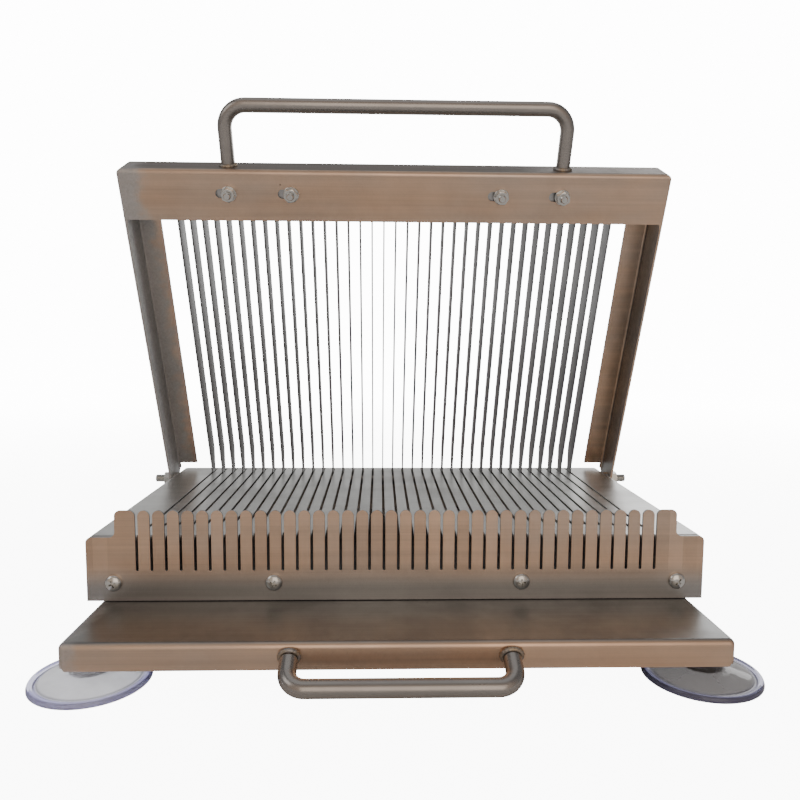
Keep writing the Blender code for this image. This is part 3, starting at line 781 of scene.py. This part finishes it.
def weld_ring(matrix, half, foot):
    """Rippled fillet welds round both feet of a handle."""
    sizes = bpy.context.scene.slicer_sizes
    bm = bmesh.new()
    for side in (-1, 1):
        bead = [(sizes.bar + out, along) for out, along in arc(sizes.weld, 0, 360, 10)]
        made = turned(bm, bead, 72)
        for vert in made:
            angle = atan2(vert.co.y, vert.co.x)
            ripple = 1 + 0.045 * abs(sin(9 * angle)) + 0.03 * sin(2 * angle + side)
            vert.co.x *= ripple
            vert.co.y *= ripple
        spot = Matrix.Translation((side * half, -foot, 0)) @ Matrix.Rotation(pi / 2, 4, "X")
        bmesh.ops.transform(bm, matrix=matrix @ spot, verts=made)
    bmesh.ops.recalc_face_normals(bm, faces=bm.faces)
    return bm


class MakeHandles(bpy.types.Operator):
    """Round bar handles on the tray and on the lid, with their welds"""
    bl_idname = "slicer.make_handles"
    bl_label = "Handles"

    def execute(self, context):
        sizes, colours = context.scene.slicer_sizes, context.scene.slicer_colours
        steel = bare_steel("satin_bar", colours.bar, 0.27, (25, 1100, 1100), 0.01 * MM)
        root = (0, TRAY_FRONT, (TRAY_LOW.z + TRAY_HIGH.z) / 2 + 0.5 * MM)
        front = Matrix.Translation(root) @ Matrix.Rotation(FRONT_GRIP_TILT, 4, "X")
        foot = (GAP + sizes.bar * sin(FRONT_GRIP_TILT)) / cos(FRONT_GRIP_TILT)
        finish_piece("front_grip", bent_handle(front, foot=foot, **FRONT_GRIP), steel, "base",
                     ["front_handle"], sharp=50)
        finish_piece("front_grip_welds", weld_ring(front, FRONT_GRIP["half"], 0.8 * MM), weld_steel(), "base")
        lid = LID_TURN @ Matrix.Translation((0, -LID_REACH, 6 * MM))
        finish_piece("lid_grip", bent_handle(lid, foot=GAP, **LID_GRIP), steel, "lid",
                     ["lid_handle"], sharp=50)
        finish_piece("lid_grip_welds", weld_ring(lid, LID_GRIP["half"], 0.5 * MM), weld_steel(), "lid")
        return {"FINISHED"}


def smooth_line(points, steps=5):
    """Catmull-Rom points through a list of (radius, height) points."""
    ends = [points[0], *points, points[-1]]
    line = []
    for p0, p1, p2, p3 in zip(ends, ends[1:], ends[2:], ends[3:]):
        for i in range(steps):
            t = i / steps
            line.append(tuple(0.5 * (2 * b + (c - a) * t + (2 * a - 5 * b + 4 * c - d) * t * t
                                     + (3 * b - a - 3 * c + d) * t ** 3)
                              for a, b, c, d in zip(p0, p1, p2, p3)))
    return [*line, points[-1]]


def hex_nut(corner, height, bore, matrix):
    """A hexagon on local z = 0, and the turned shape that chamfers its corners and bores it."""
    bm = bmesh.new()
    bmesh.ops.create_cone(bm, cap_ends=True, segments=6, radius1=corner, radius2=corner, depth=height,
                          matrix=Matrix.Translation((0, 0, height / 2)))
    chamfer = 0.1 * corner
    flat = corner - 1.6 * chamfer
    tool = bmesh.new()
    turned(tool, [(bore, height), (flat, height), (corner, height - chamfer), (corner, chamfer), (flat, 0),
                  (bore, 0), (bore, height)], 36)
    bmesh.ops.transform(bm, matrix=matrix, verts=bm.verts)
    bmesh.ops.transform(tool, matrix=matrix, verts=tool.verts)
    return bm, tool


def add_nut(name, matrix, body, steel, stands_for=(), corner=4.6 * MM, height=4 * MM, bore=2.45 * MM):
    bm, tool = hex_nut(corner, height, bore, matrix)
    nut = finish_piece(name, bm, steel, body, stands_for, sharp=25)
    carve(nut, tool, "INTERSECT")
    nut.data.shade_smooth()
    nut.data.set_sharp_from_angle(angle=radians(25))
    return nut


class MakeCups(bpy.types.Operator):
    """Clear suction cups with their studs and nuts"""
    bl_idname = "slicer.make_cups"
    bl_label = "Suction cups"

    def execute(self, context):
        profile = self.cup_profile(context.scene.slicer_sizes.cup)
        steel = plated_steel()
        for number, cad_node in enumerate(CUP_NODES, start=1):
            low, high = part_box(cad_node)
            spot = Matrix.Translation(((low.x + high.x) / 2, (low.y + high.y) / 2, 0))
            self.add_cup(number, cad_node, profile, spot)
            stud = bmesh.new()
            top, foot = high.z - 0.4 * MM, CUP_HUB_TOP + 0.05 * MM
            turned(stud, [(0, top), (2.0 * MM, top), *thread_profile(THREAD, top, foot + 0.15 * MM),
                          (2.1 * MM, foot), (0, foot)], 28, spot)
            finish_piece(f"cup_stud_{number}", stud, steel, "base", sharp=40)
            nut_place = spot @ Matrix.Translation((0, 0, CUP_HUB_TOP + GAP))
            nut_place = nut_place @ Matrix.Rotation(radians(17 * number), 4, "Z")
            add_nut(f"cup_nut_{number}", nut_place, "base", steel)
            washer = bmesh.new()
            turned(washer, ring_profile(2.6 * MM, 6.0 * MM, high.z - 1.2 * MM, high.z - 0.1 * MM), 40, spot)
            finish_piece(f"cup_washer_{number}", washer, steel, "base", sharp=35)
        return {"FINISHED"}

    def cup_profile(self, radius):
        """Cross-section of a cup: its hub, its falling cone, its raised rim and its hollow underside."""
        hub, rim = CUP_HUB_TOP / MM, radius / MM
        upper = smooth_line([(3.2, hub), (7.0, 13.1), (7.9, 11.2), (8.3, 8.6), (10.5, 7.0), (15, 5.6),
                             (20, 4.1), (24, 2.9), (25.5, 2.2), (26.6, 2.5), (28, 3.1), (rim - 0.6, 2.7),
                             (rim, 1.3)])
        lower = smooth_line([(rim, 0.5), (rim - 0.5, 0), (rim - 3, 0.1), (rim - 8, 1.0), (16, 2.7), (9, 4.2),
                             (0, 5.0)])
        return [(out * MM, level * MM) for out, level in [(0, hub), *upper, *lower]]

    def add_cup(self, number, cad_node, profile, spot):
        """Turns one cup; from_hub runs from 0 at its middle to 1 at its rim."""
        bm = bmesh.new()
        from_hub = bm.verts.layers.float.new("from_hub")
        turned(bm, profile, 72, spot)
        rim = max(out for out, level in profile)
        for vert in bm.verts:
            vert[from_hub] = (vert.co - spot.translation).to_2d().length / rim
        finish_piece(f"cup_{number}", bm, soft_vinyl(), "base", [cad_node], sharp=60)


def ring_profile(inner, outer, low, high):
    """Cross-section of a flat washer with broken outer edges, closed."""
    nip = min(0.2 * (high - low), 0.2 * MM)
    return [(inner, high), (outer - nip, high), (outer, high - nip), (outer, low + nip), (outer - nip, low),
            (inner, low), (inner, high)]


class MakeHinge(bpy.types.Operator):
    """Hinge rod with its collars and nuts, and the spacers between the blade eyes"""
    bl_idname = "slicer.make_hinge"
    bl_label = "Hinge"

    def execute(self, context):
        sizes = context.scene.slicer_sizes
        steel = plated_steel()
        along_x = Matrix.Translation(HINGE) @ Matrix.Rotation(pi / 2, 4, "Y")
        nut_in = LID_HALF + GAP
        bm = bmesh.new()
        turned(bm, self.rod_profile(nut_in), 32, along_x)
        finish_piece("rod_with_collars", bm, steel, "base", ["hinge_rod"], sharp=40)
        for side, label in ((-1, "left"), (1, "right")):
            turn = Matrix.Rotation(side * pi / 2, 4, "Y") @ Matrix.Rotation(radians(12), 4, "Z")
            spot = Matrix.Translation(HINGE + Vector((side * nut_in, 0, 0))) @ turn
            add_nut(f"rod_nut_{label}", spot, "base", steel, [f"hinge_nut_{label}"], 5.6 * MM, 5 * MM,
                    3.05 * MM)
        half = (sizes.pitch - sizes.blade) / 2 - 0.05 * MM
        bore, outer = 3.3 * MM, 4.8 * MM
        ring = [(bore, half), (outer, half), (outer, -half), (bore, -half), (bore, half)]
        spacers = bmesh.new()
        lines = slot_lines()
        for left, right in zip(lines, lines[1:]):
            turned(spacers, ring, 16, along_x @ Matrix.Translation((0, 0, (left + right) / 2)))
        finish_piece("blade_spacers", spacers, bare_steel("spacer_tube", (0.55, 0.55, 0.54), 0.34), "lid",
                     sharp=40)
        return {"FINISHED"}

    def rod_profile(self, nut_in):
        """The rod's outer side from end to end, with a collar between the body and each arm of the lid."""
        collar_out, collar_in = LID_HALF - 1.8 * MM, BODY_HIGH.x + GAP
        threads = [(radius + HINGE_ROD - THREAD, level)
                   for radius, level in thread_profile(THREAD, ROD_HALF - 0.5 * MM, nut_in)]
        side = [(0, ROD_HALF), (HINGE_ROD - 0.4 * MM, ROD_HALF), *threads, (HINGE_ROD, LID_HALF - 2 * MM),
                (HINGE_ROD, collar_out), (HINGE_COLLAR, collar_out), (HINGE_COLLAR, collar_in),
                (HINGE_ROD, collar_in)]
        return side + [(radius, -level) for radius, level in reversed(side)]


# Lid pieces

class MakeLidFrame(bpy.types.Operator):
    """Folded lid frame with its window, arms and front channel"""
    bl_idname = "slicer.make_lid_frame"
    bl_label = "Lid frame"

    def execute(self, context):
        sizes = context.scene.slicer_sizes
        bm = bmesh.new()
        add_box(bm, (-LID_HALF, -LID_REACH, LID_LOW), (LID_HALF, -LID_REAR, LID_HIGH))
        slice_at(bm, (0, -LID_FLANGE_START, 0), (0, 1, 0))
        drop_faces(bm, lambda centre, normal: normal.y > 0.5
                   or normal.z < -0.5 and centre.y > -LID_FLANGE_START)
        soften(bm, [edge for edge in bm.edges if self.is_bent(*edge.verts)], sizes.bend, 6)
        self.open_window(bm, LID_HALF - sizes.bend)
        self.trim_arms(bm)
        bmesh.ops.transform(bm, matrix=LID_TURN, verts=bm.verts)
        patch = (-LID_HALF + 18 * MM, -LID_HALF + 30 * MM, 0.85)
        # The lid's faces that do not look forward are made darker by top: painted shade.
        lid = finish_piece("lid_channel_frame", bm,
                           sheet_steel("lid_sheet", top=0.6, weld_patch=patch), "lid",
                           ["lid_frame"], wall=sizes.sheet, edge=sizes.edge)
        carve(lid, self.bolt_slots())
        return {"FINISHED"}

    def is_bent(self, first, last):
        """The sheet is folded round the channel's front and along both arms' upper edges."""
        a, b = first.co, last.co
        at_front = max(abs(a.y + LID_REACH), abs(b.y + LID_REACH)) < SAME
        on_top = max(abs(a.z - LID_HIGH), abs(b.z - LID_HIGH)) < SAME
        return at_front or (on_top and abs(a.x - b.x) < SAME)

    def open_window(self, bm, inner_half):
        """Takes out the window over the blades, and the strip behind it from arm to arm."""
        for side in (-1, 1):
            slice_at(bm, (side * LID_WINDOW_HALF, 0, 0), (1, 0, 0))
            slice_at(bm, (side * inner_half, 0, 0), (1, 0, 0))
        slice_at(bm, (0, -LID_WINDOW_END, 0), (0, 1, 0))
        slice_at(bm, (0, -LID_WINDOW_START, 0), (0, 1, 0))

        def is_open(centre, normal):
            window = abs(centre.x) < LID_WINDOW_HALF and centre.y > -LID_WINDOW_END
            rear = abs(centre.x) < inner_half and centre.y > -LID_WINDOW_START
            return normal.z > 0.9 and centre.z > LID_HIGH - MM and (window or rear)
        drop_faces(bm, is_open)

    def trim_arms(self, bm):
        """Rounds the arms behind the hinge with a few straight cuts, above and below."""
        for radius, cut, level, up, leans in (
                (ARM_CORNER, 1.02 * ARM_CORNER, LID_HIGH - ARM_CORNER, 1, (22.5, 45, 67.5)),
                (ARM_FOOT, ARM_FOOT, LID_LOW + ARM_FOOT, -1, (30, 60))):
            centre = Vector((0, -LID_REAR - radius, level))
            for lean in leans:
                out = Vector((0, cos(radians(lean)), up * sin(radians(lean))))
                slice_at(bm, centre + out * cut, out, clear=True)

    def bolt_slots(self):
        """Round-ended slots in the flange, running to the left of each bolt."""
        half_width, left, right = 3 * MM, 8.6 * MM, 3.4 * MM
        tool = bmesh.new()
        for x in LID_BOLT_XS:
            made = add_box(tool, (x - left, -LID_BOLT_REACH - half_width, LID_LOW - 2 * MM),
                           (x + right, -LID_BOLT_REACH + half_width, LID_LOW + 3 * MM))
            upright = {edge for vert in made for edge in vert.link_edges
                       if abs(edge.verts[0].co.z - edge.verts[1].co.z) > MM}
            soften(tool, list(upright), half_width - 0.05 * MM, 6)
        bmesh.ops.transform(tool, matrix=LID_TURN, verts=tool.verts)
        return tool


class MakeBlades(bpy.types.Operator):
    """Ground blades, each with its eye for the hinge rod"""
    bl_idname = "slicer.make_blades"
    bl_label = "Blades"

    def execute(self, context):
        sizes = context.scene.slicer_sizes
        colour_of_blade = context.scene.slicer_colours.blade
        steel = bare_steel("ground_steel", colour_of_blade, 0.40, (900, 60, 60), 0.008 * MM, graze=0.5)
        outline = self.outline()
        for number, (cad_node, x) in enumerate(zip(BLADE_NODES, slot_lines()), start=1):
            bm = bmesh.new()
            face = bm.faces.new([bm.verts.new((x - sizes.blade / 2, y, z)) for y, z in outline])
            made = bmesh.ops.extrude_face_region(bm, geom=[face])["geom"]
            far = [item for item in made if isinstance(item, bmesh.types.BMVert)]
            bmesh.ops.translate(bm, vec=(sizes.blade, 0, 0), verts=far)
            slice_at(bm, (0, 0, BLADE_LOW + sizes.grind), (0, 0, 1))
            slice_at(bm, (0, -14 * MM, 0), (0, 1, 0))
            for vert in bm.verts:
                if vert.co.z < BLADE_LOW + 0.1 * MM and vert.co.y < -8 * MM:
                    vert.co.x = x + (vert.co.x - x) * BLADE_EDGE
            bmesh.ops.recalc_face_normals(bm, faces=bm.faces)
            bmesh.ops.transform(bm, matrix=LID_TURN, verts=bm.verts)
            finish_piece(f"ground_blade_{number:02d}", bm, steel, "lid", [cad_node], sharp=12)
        return {"FINISHED"}

    def outline(self):
        """Side view of a blade as (y, z) points, with the lid closed: its edge, its eye and its back."""
        nip = 1 * MM
        eye = arc(BLADE_EYE, -144, 106, 16)
        return [(-BLADE_REACH + nip, BLADE_LOW), (-5.1 * MM, BLADE_LOW), *eye, (-22 * MM, BLADE_HIGH),
                (-BLADE_REACH, BLADE_HIGH), (-BLADE_REACH, BLADE_LOW + nip)]


class MakeLidBolts(bpy.types.Operator):
    """Bolts, washers and nuts that clamp the blade bar in the lid's front channel"""
    bl_idname = "slicer.make_lid_bolts"
    bl_label = "Lid bolts"

    def execute(self, context):
        steel = plated_steel()
        names = [f"lid_bolt_{place}" for place in FASTENER_PLACES]
        low, top = LID_LOW, HOLDER_HIGH
        head, rim, tip = 4.2 * MM, top + 0.3 * MM, low - 8 * MM
        profile = dome(head, top + 0.8 * MM, 1.4 * MM, 6)
        profile = [(0, profile[0][1]), *profile[1:], (head, rim), (THREAD, rim), (THREAD, low),
                   *thread_profile(THREAD, low - 0.3 * MM, tip + 0.4 * MM), (1.8 * MM, tip), (0, tip)]
        for number, (name, x, turn) in enumerate(zip(names, LID_BOLT_XS, (10, 41, 27, 3)), start=1):
            spot = LID_TURN @ Matrix.Translation((x, -LID_BOLT_REACH, 0))
            bm = bmesh.new()
            turned(bm, profile, 28, spot)
            finish_piece(f"channel_bolt_{number}", bm, steel, "lid", [name], sharp=40)
            washer = bmesh.new()
            turned(washer, ring_profile(2.6 * MM, 5.0 * MM, low - 1.2 * MM, low - 0.1 * MM), 40, spot)
            finish_piece(f"channel_washer_{number}", washer, steel, "lid", sharp=35)
            nut_place = spot @ Matrix.Translation((0, 0, low - 1.3 * MM)) @ Matrix.Rotation(pi, 4, "X")
            nut_place = nut_place @ Matrix.Rotation(radians(turn), 4, "Z")
            add_nut(f"channel_nut_{number}", nut_place, "lid", steel)
        return {"FINISHED"}


class MakeBladeBar(bpy.types.Operator):
    """Finish of the slotted bar that holds the front ends of the blades"""
    bl_idname = "slicer.make_blade_bar"
    bl_label = "Blade bar"

    def execute(self, context):
        steel = bare_steel("bar_stock", (0.55, 0.55, 0.55), 0.33, (30, 900, 900), 0.01 * MM)
        bar = frame["nodes"]["blade_holder"]
        bar.data.materials.clear()
        bar.data.materials.append(steel)
        return {"FINISHED"}


# Stage

FLOOR_GLOW = 14.0               # strength of the white that the camera sees all round
FLOOR_THROUGH_VINYL = 2.2       # strength of the floor where it is seen through a cup
ROOM_STRENGTH = 0.8
LOOK_DOWN, LOOK_ASIDE, LOOK_ROLL = radians(5.55), radians(1.64), radians(0.31)
CAMERA_PLACE = Vector((-10.8 * MM, COMB_FRONT - 392.5 * MM, 178.4 * MM))


class MakeStage(bpy.types.Operator):
    """Floor, soft lights and camera"""
    bl_idname = "slicer.make_stage"
    bl_label = "Stage"

    def execute(self, context):
        self.make_floor(context)
        self.make_world(context)
        self.make_lights(context)
        self.make_camera(context)
        return {"FINISHED"}

    def make_floor(self, context):
        bm = bmesh.new()
        bmesh.ops.create_grid(bm, x_segments=1, y_segments=1, size=6.0)
        mesh = bpy.data.meshes.new("floor")
        bm.to_mesh(mesh)
        bm.free()
        floor = bpy.data.objects.new("floor", mesh)
        context.scene.collection.objects.link(floor)
        mat, tree, shader, place = start_material("pale_floor")
        feed(tree, shader.inputs["Base Color"], (*context.scene.slicer_colours.floor, 1))
        feed(tree, shader.inputs["Roughness"], 0.7)
        feed(tree, shader.inputs["Specular IOR Level"], 0.0)
        seen = node(tree, "ShaderNodeLightPath")
        reach = node(tree, "ShaderNodeVectorMath", operation="LENGTH")
        feed(tree, reach.inputs[0], place.outputs["Object"])
        # The floor glows less near the slicer: painted shade round it, so that its real shadows still show.
        glow = between(tree, reach.outputs["Value"], 0.3, 1.6, FLOOR_GLOW * 0.7, FLOOR_GLOW)
        feed(tree, shader.inputs["Emission Color"], (1, 1, 1, 1))
        through = math(tree, "MULTIPLY", seen.outputs["Is Transmission Ray"], FLOOR_THROUGH_VINYL)
        feed(tree, shader.inputs["Emission Strength"],
             math(tree, "MULTIPLY_ADD", seen.outputs["Is Camera Ray"], glow, through))
        mesh.materials.append(mat)

    def make_world(self, context):
        """White to the camera; to the metal a grey room, bright low down behind and warm in front."""
        world = bpy.data.worlds.new("studio_room")
        context.scene.world = world
        world.use_nodes = True
        tree = world.node_tree
        tree.nodes.clear()
        place = node(tree, "ShaderNodeTexCoord")
        _, back, up = parts_of(tree, place.outputs["Generated"])
        height = between(tree, up, -0.25, 0.9)
        room = blend_colour(tree, height, (0.34, 0.34, 0.34, 1), (0.22, 0.22, 0.225, 1))
        low_down = between(tree, up, 0.28, 0.5, 1.0, 0.0)
        behind = math(tree, "MULTIPLY", between(tree, back, 0.3, 0.95), low_down)
        room = blend_colour(tree, behind, room, (1.15, 1.15, 1.13, 1))
        front = between(tree, math(tree, "MULTIPLY", back, -1.0), 0.1, 0.8)
        room = blend_colour(tree, front, room, (0.56, 0.46, 0.385, 1))
        around = node(tree, "ShaderNodeBackground")
        feed(tree, around.inputs["Color"], room)
        feed(tree, around.inputs["Strength"], ROOM_STRENGTH)
        backdrop = node(tree, "ShaderNodeBackground")
        feed(tree, backdrop.inputs["Color"], (1, 1, 1, 1))
        feed(tree, backdrop.inputs["Strength"], FLOOR_GLOW)
        seen = node(tree, "ShaderNodeLightPath")
        pick = node(tree, "ShaderNodeMixShader")
        feed(tree, pick.inputs[0], seen.outputs["Is Camera Ray"])
        feed(tree, pick.inputs[1], around.outputs[0])
        feed(tree, pick.inputs[2], backdrop.outputs[0])
        out = node(tree, "ShaderNodeOutputWorld")
        feed(tree, out.inputs[0], pick.outputs[0])

    def make_lights(self, context):
        """Square lamps that all look just above the bed."""
        target = Vector((0, 0, 0.12))
        for name, place, size, power, tint in (
                ("overhead_soft", (0.0, 0.15, 1.3), 1.3, 1.8, (1.0, 1.0, 1.0)),
                ("left_soft", (-1.1, -0.5, 0.9), 0.7, 1.6, (1.0, 0.98, 0.95)),
                ("rear_soft", (0.9, 1.3, 0.8), 0.9, 5.0, (1.0, 1.0, 1.0)),
                ("front_warm", (0.15, -1.4, 0.55), 1.1, 3.6, (1.0, 0.90, 0.80))):
            lamp = bpy.data.lights.new(name, "AREA")
            lamp.shape = "SQUARE"
            lamp.size = size
            lamp.energy = power
            lamp.color = tint
            item = bpy.data.objects.new(name, lamp)
            context.scene.collection.objects.link(item)
            item.location = place
            item.rotation_mode = "QUATERNION"
            item.rotation_quaternion = (target - Vector(place)).to_track_quat("-Z", "Y")
            item.visible_camera = False

    def make_camera(self, context):
        """Eye level with the open lid, looking slightly down."""
        data = bpy.data.cameras.new("camera")
        data.lens = 32.6
        data.sensor_width = 36.0
        data.clip_start = 0.01
        camera = bpy.data.objects.new("camera", data)
        context.scene.collection.objects.link(camera)
        look = Vector((sin(LOOK_ASIDE) * cos(LOOK_DOWN), cos(LOOK_ASIDE) * cos(LOOK_DOWN), -sin(LOOK_DOWN)))
        right = Vector((cos(LOOK_ASIDE), -sin(LOOK_ASIDE), 0))
        up = right.cross(look)
        turn = Matrix((right, up, -look)).transposed() @ Matrix.Rotation(LOOK_ROLL, 3, "Z")
        camera.matrix_world = Matrix.Translation(CAMERA_PLACE) @ turn.to_4x4()
        context.scene.camera = camera


class SLICER_PT_pieces(bpy.types.Panel):
    """Sidebar panel with the slicer's sizes, colours and pieces"""
    bl_label = "Multi-blade slicer"
    bl_idname = "SLICER_PT_pieces"
    bl_space_type = "VIEW_3D"
    bl_region_type = "UI"
    bl_category = "Slicer"

    def draw(self, context):
        for settings in (context.scene.slicer_sizes, context.scene.slicer_colours):
            for key in settings.__annotations__:
                self.layout.prop(settings, key)
        for maker in MAKERS:
            self.layout.operator(maker.bl_idname)


MAKERS = (MakeStage, MakeBed, MakeBodyBase, MakeComb, MakeTray, MakeCombScrews, MakeHandles, MakeCups,
          MakeHinge, MakeLidFrame, MakeBlades, MakeLidBolts, MakeBladeBar)
CLASSES = (SlicerSizes, SlicerColours, *MAKERS, SLICER_PT_pieces)


def register():
    for item in CLASSES:
        bpy.utils.register_class(item)
    bpy.types.Scene.slicer_sizes = bpy.props.PointerProperty(type=SlicerSizes)
    bpy.types.Scene.slicer_colours = bpy.props.PointerProperty(type=SlicerColours)


def unregister():
    del bpy.types.Scene.slicer_colours
    del bpy.types.Scene.slicer_sizes
    for item in reversed(CLASSES):
        bpy.utils.unregister_class(item)


def main():
    register()
    for maker in MAKERS:
        group, name = maker.bl_idname.split(".")
        getattr(getattr(bpy.ops, group), name)()


if __name__ == "__main__":
    main()
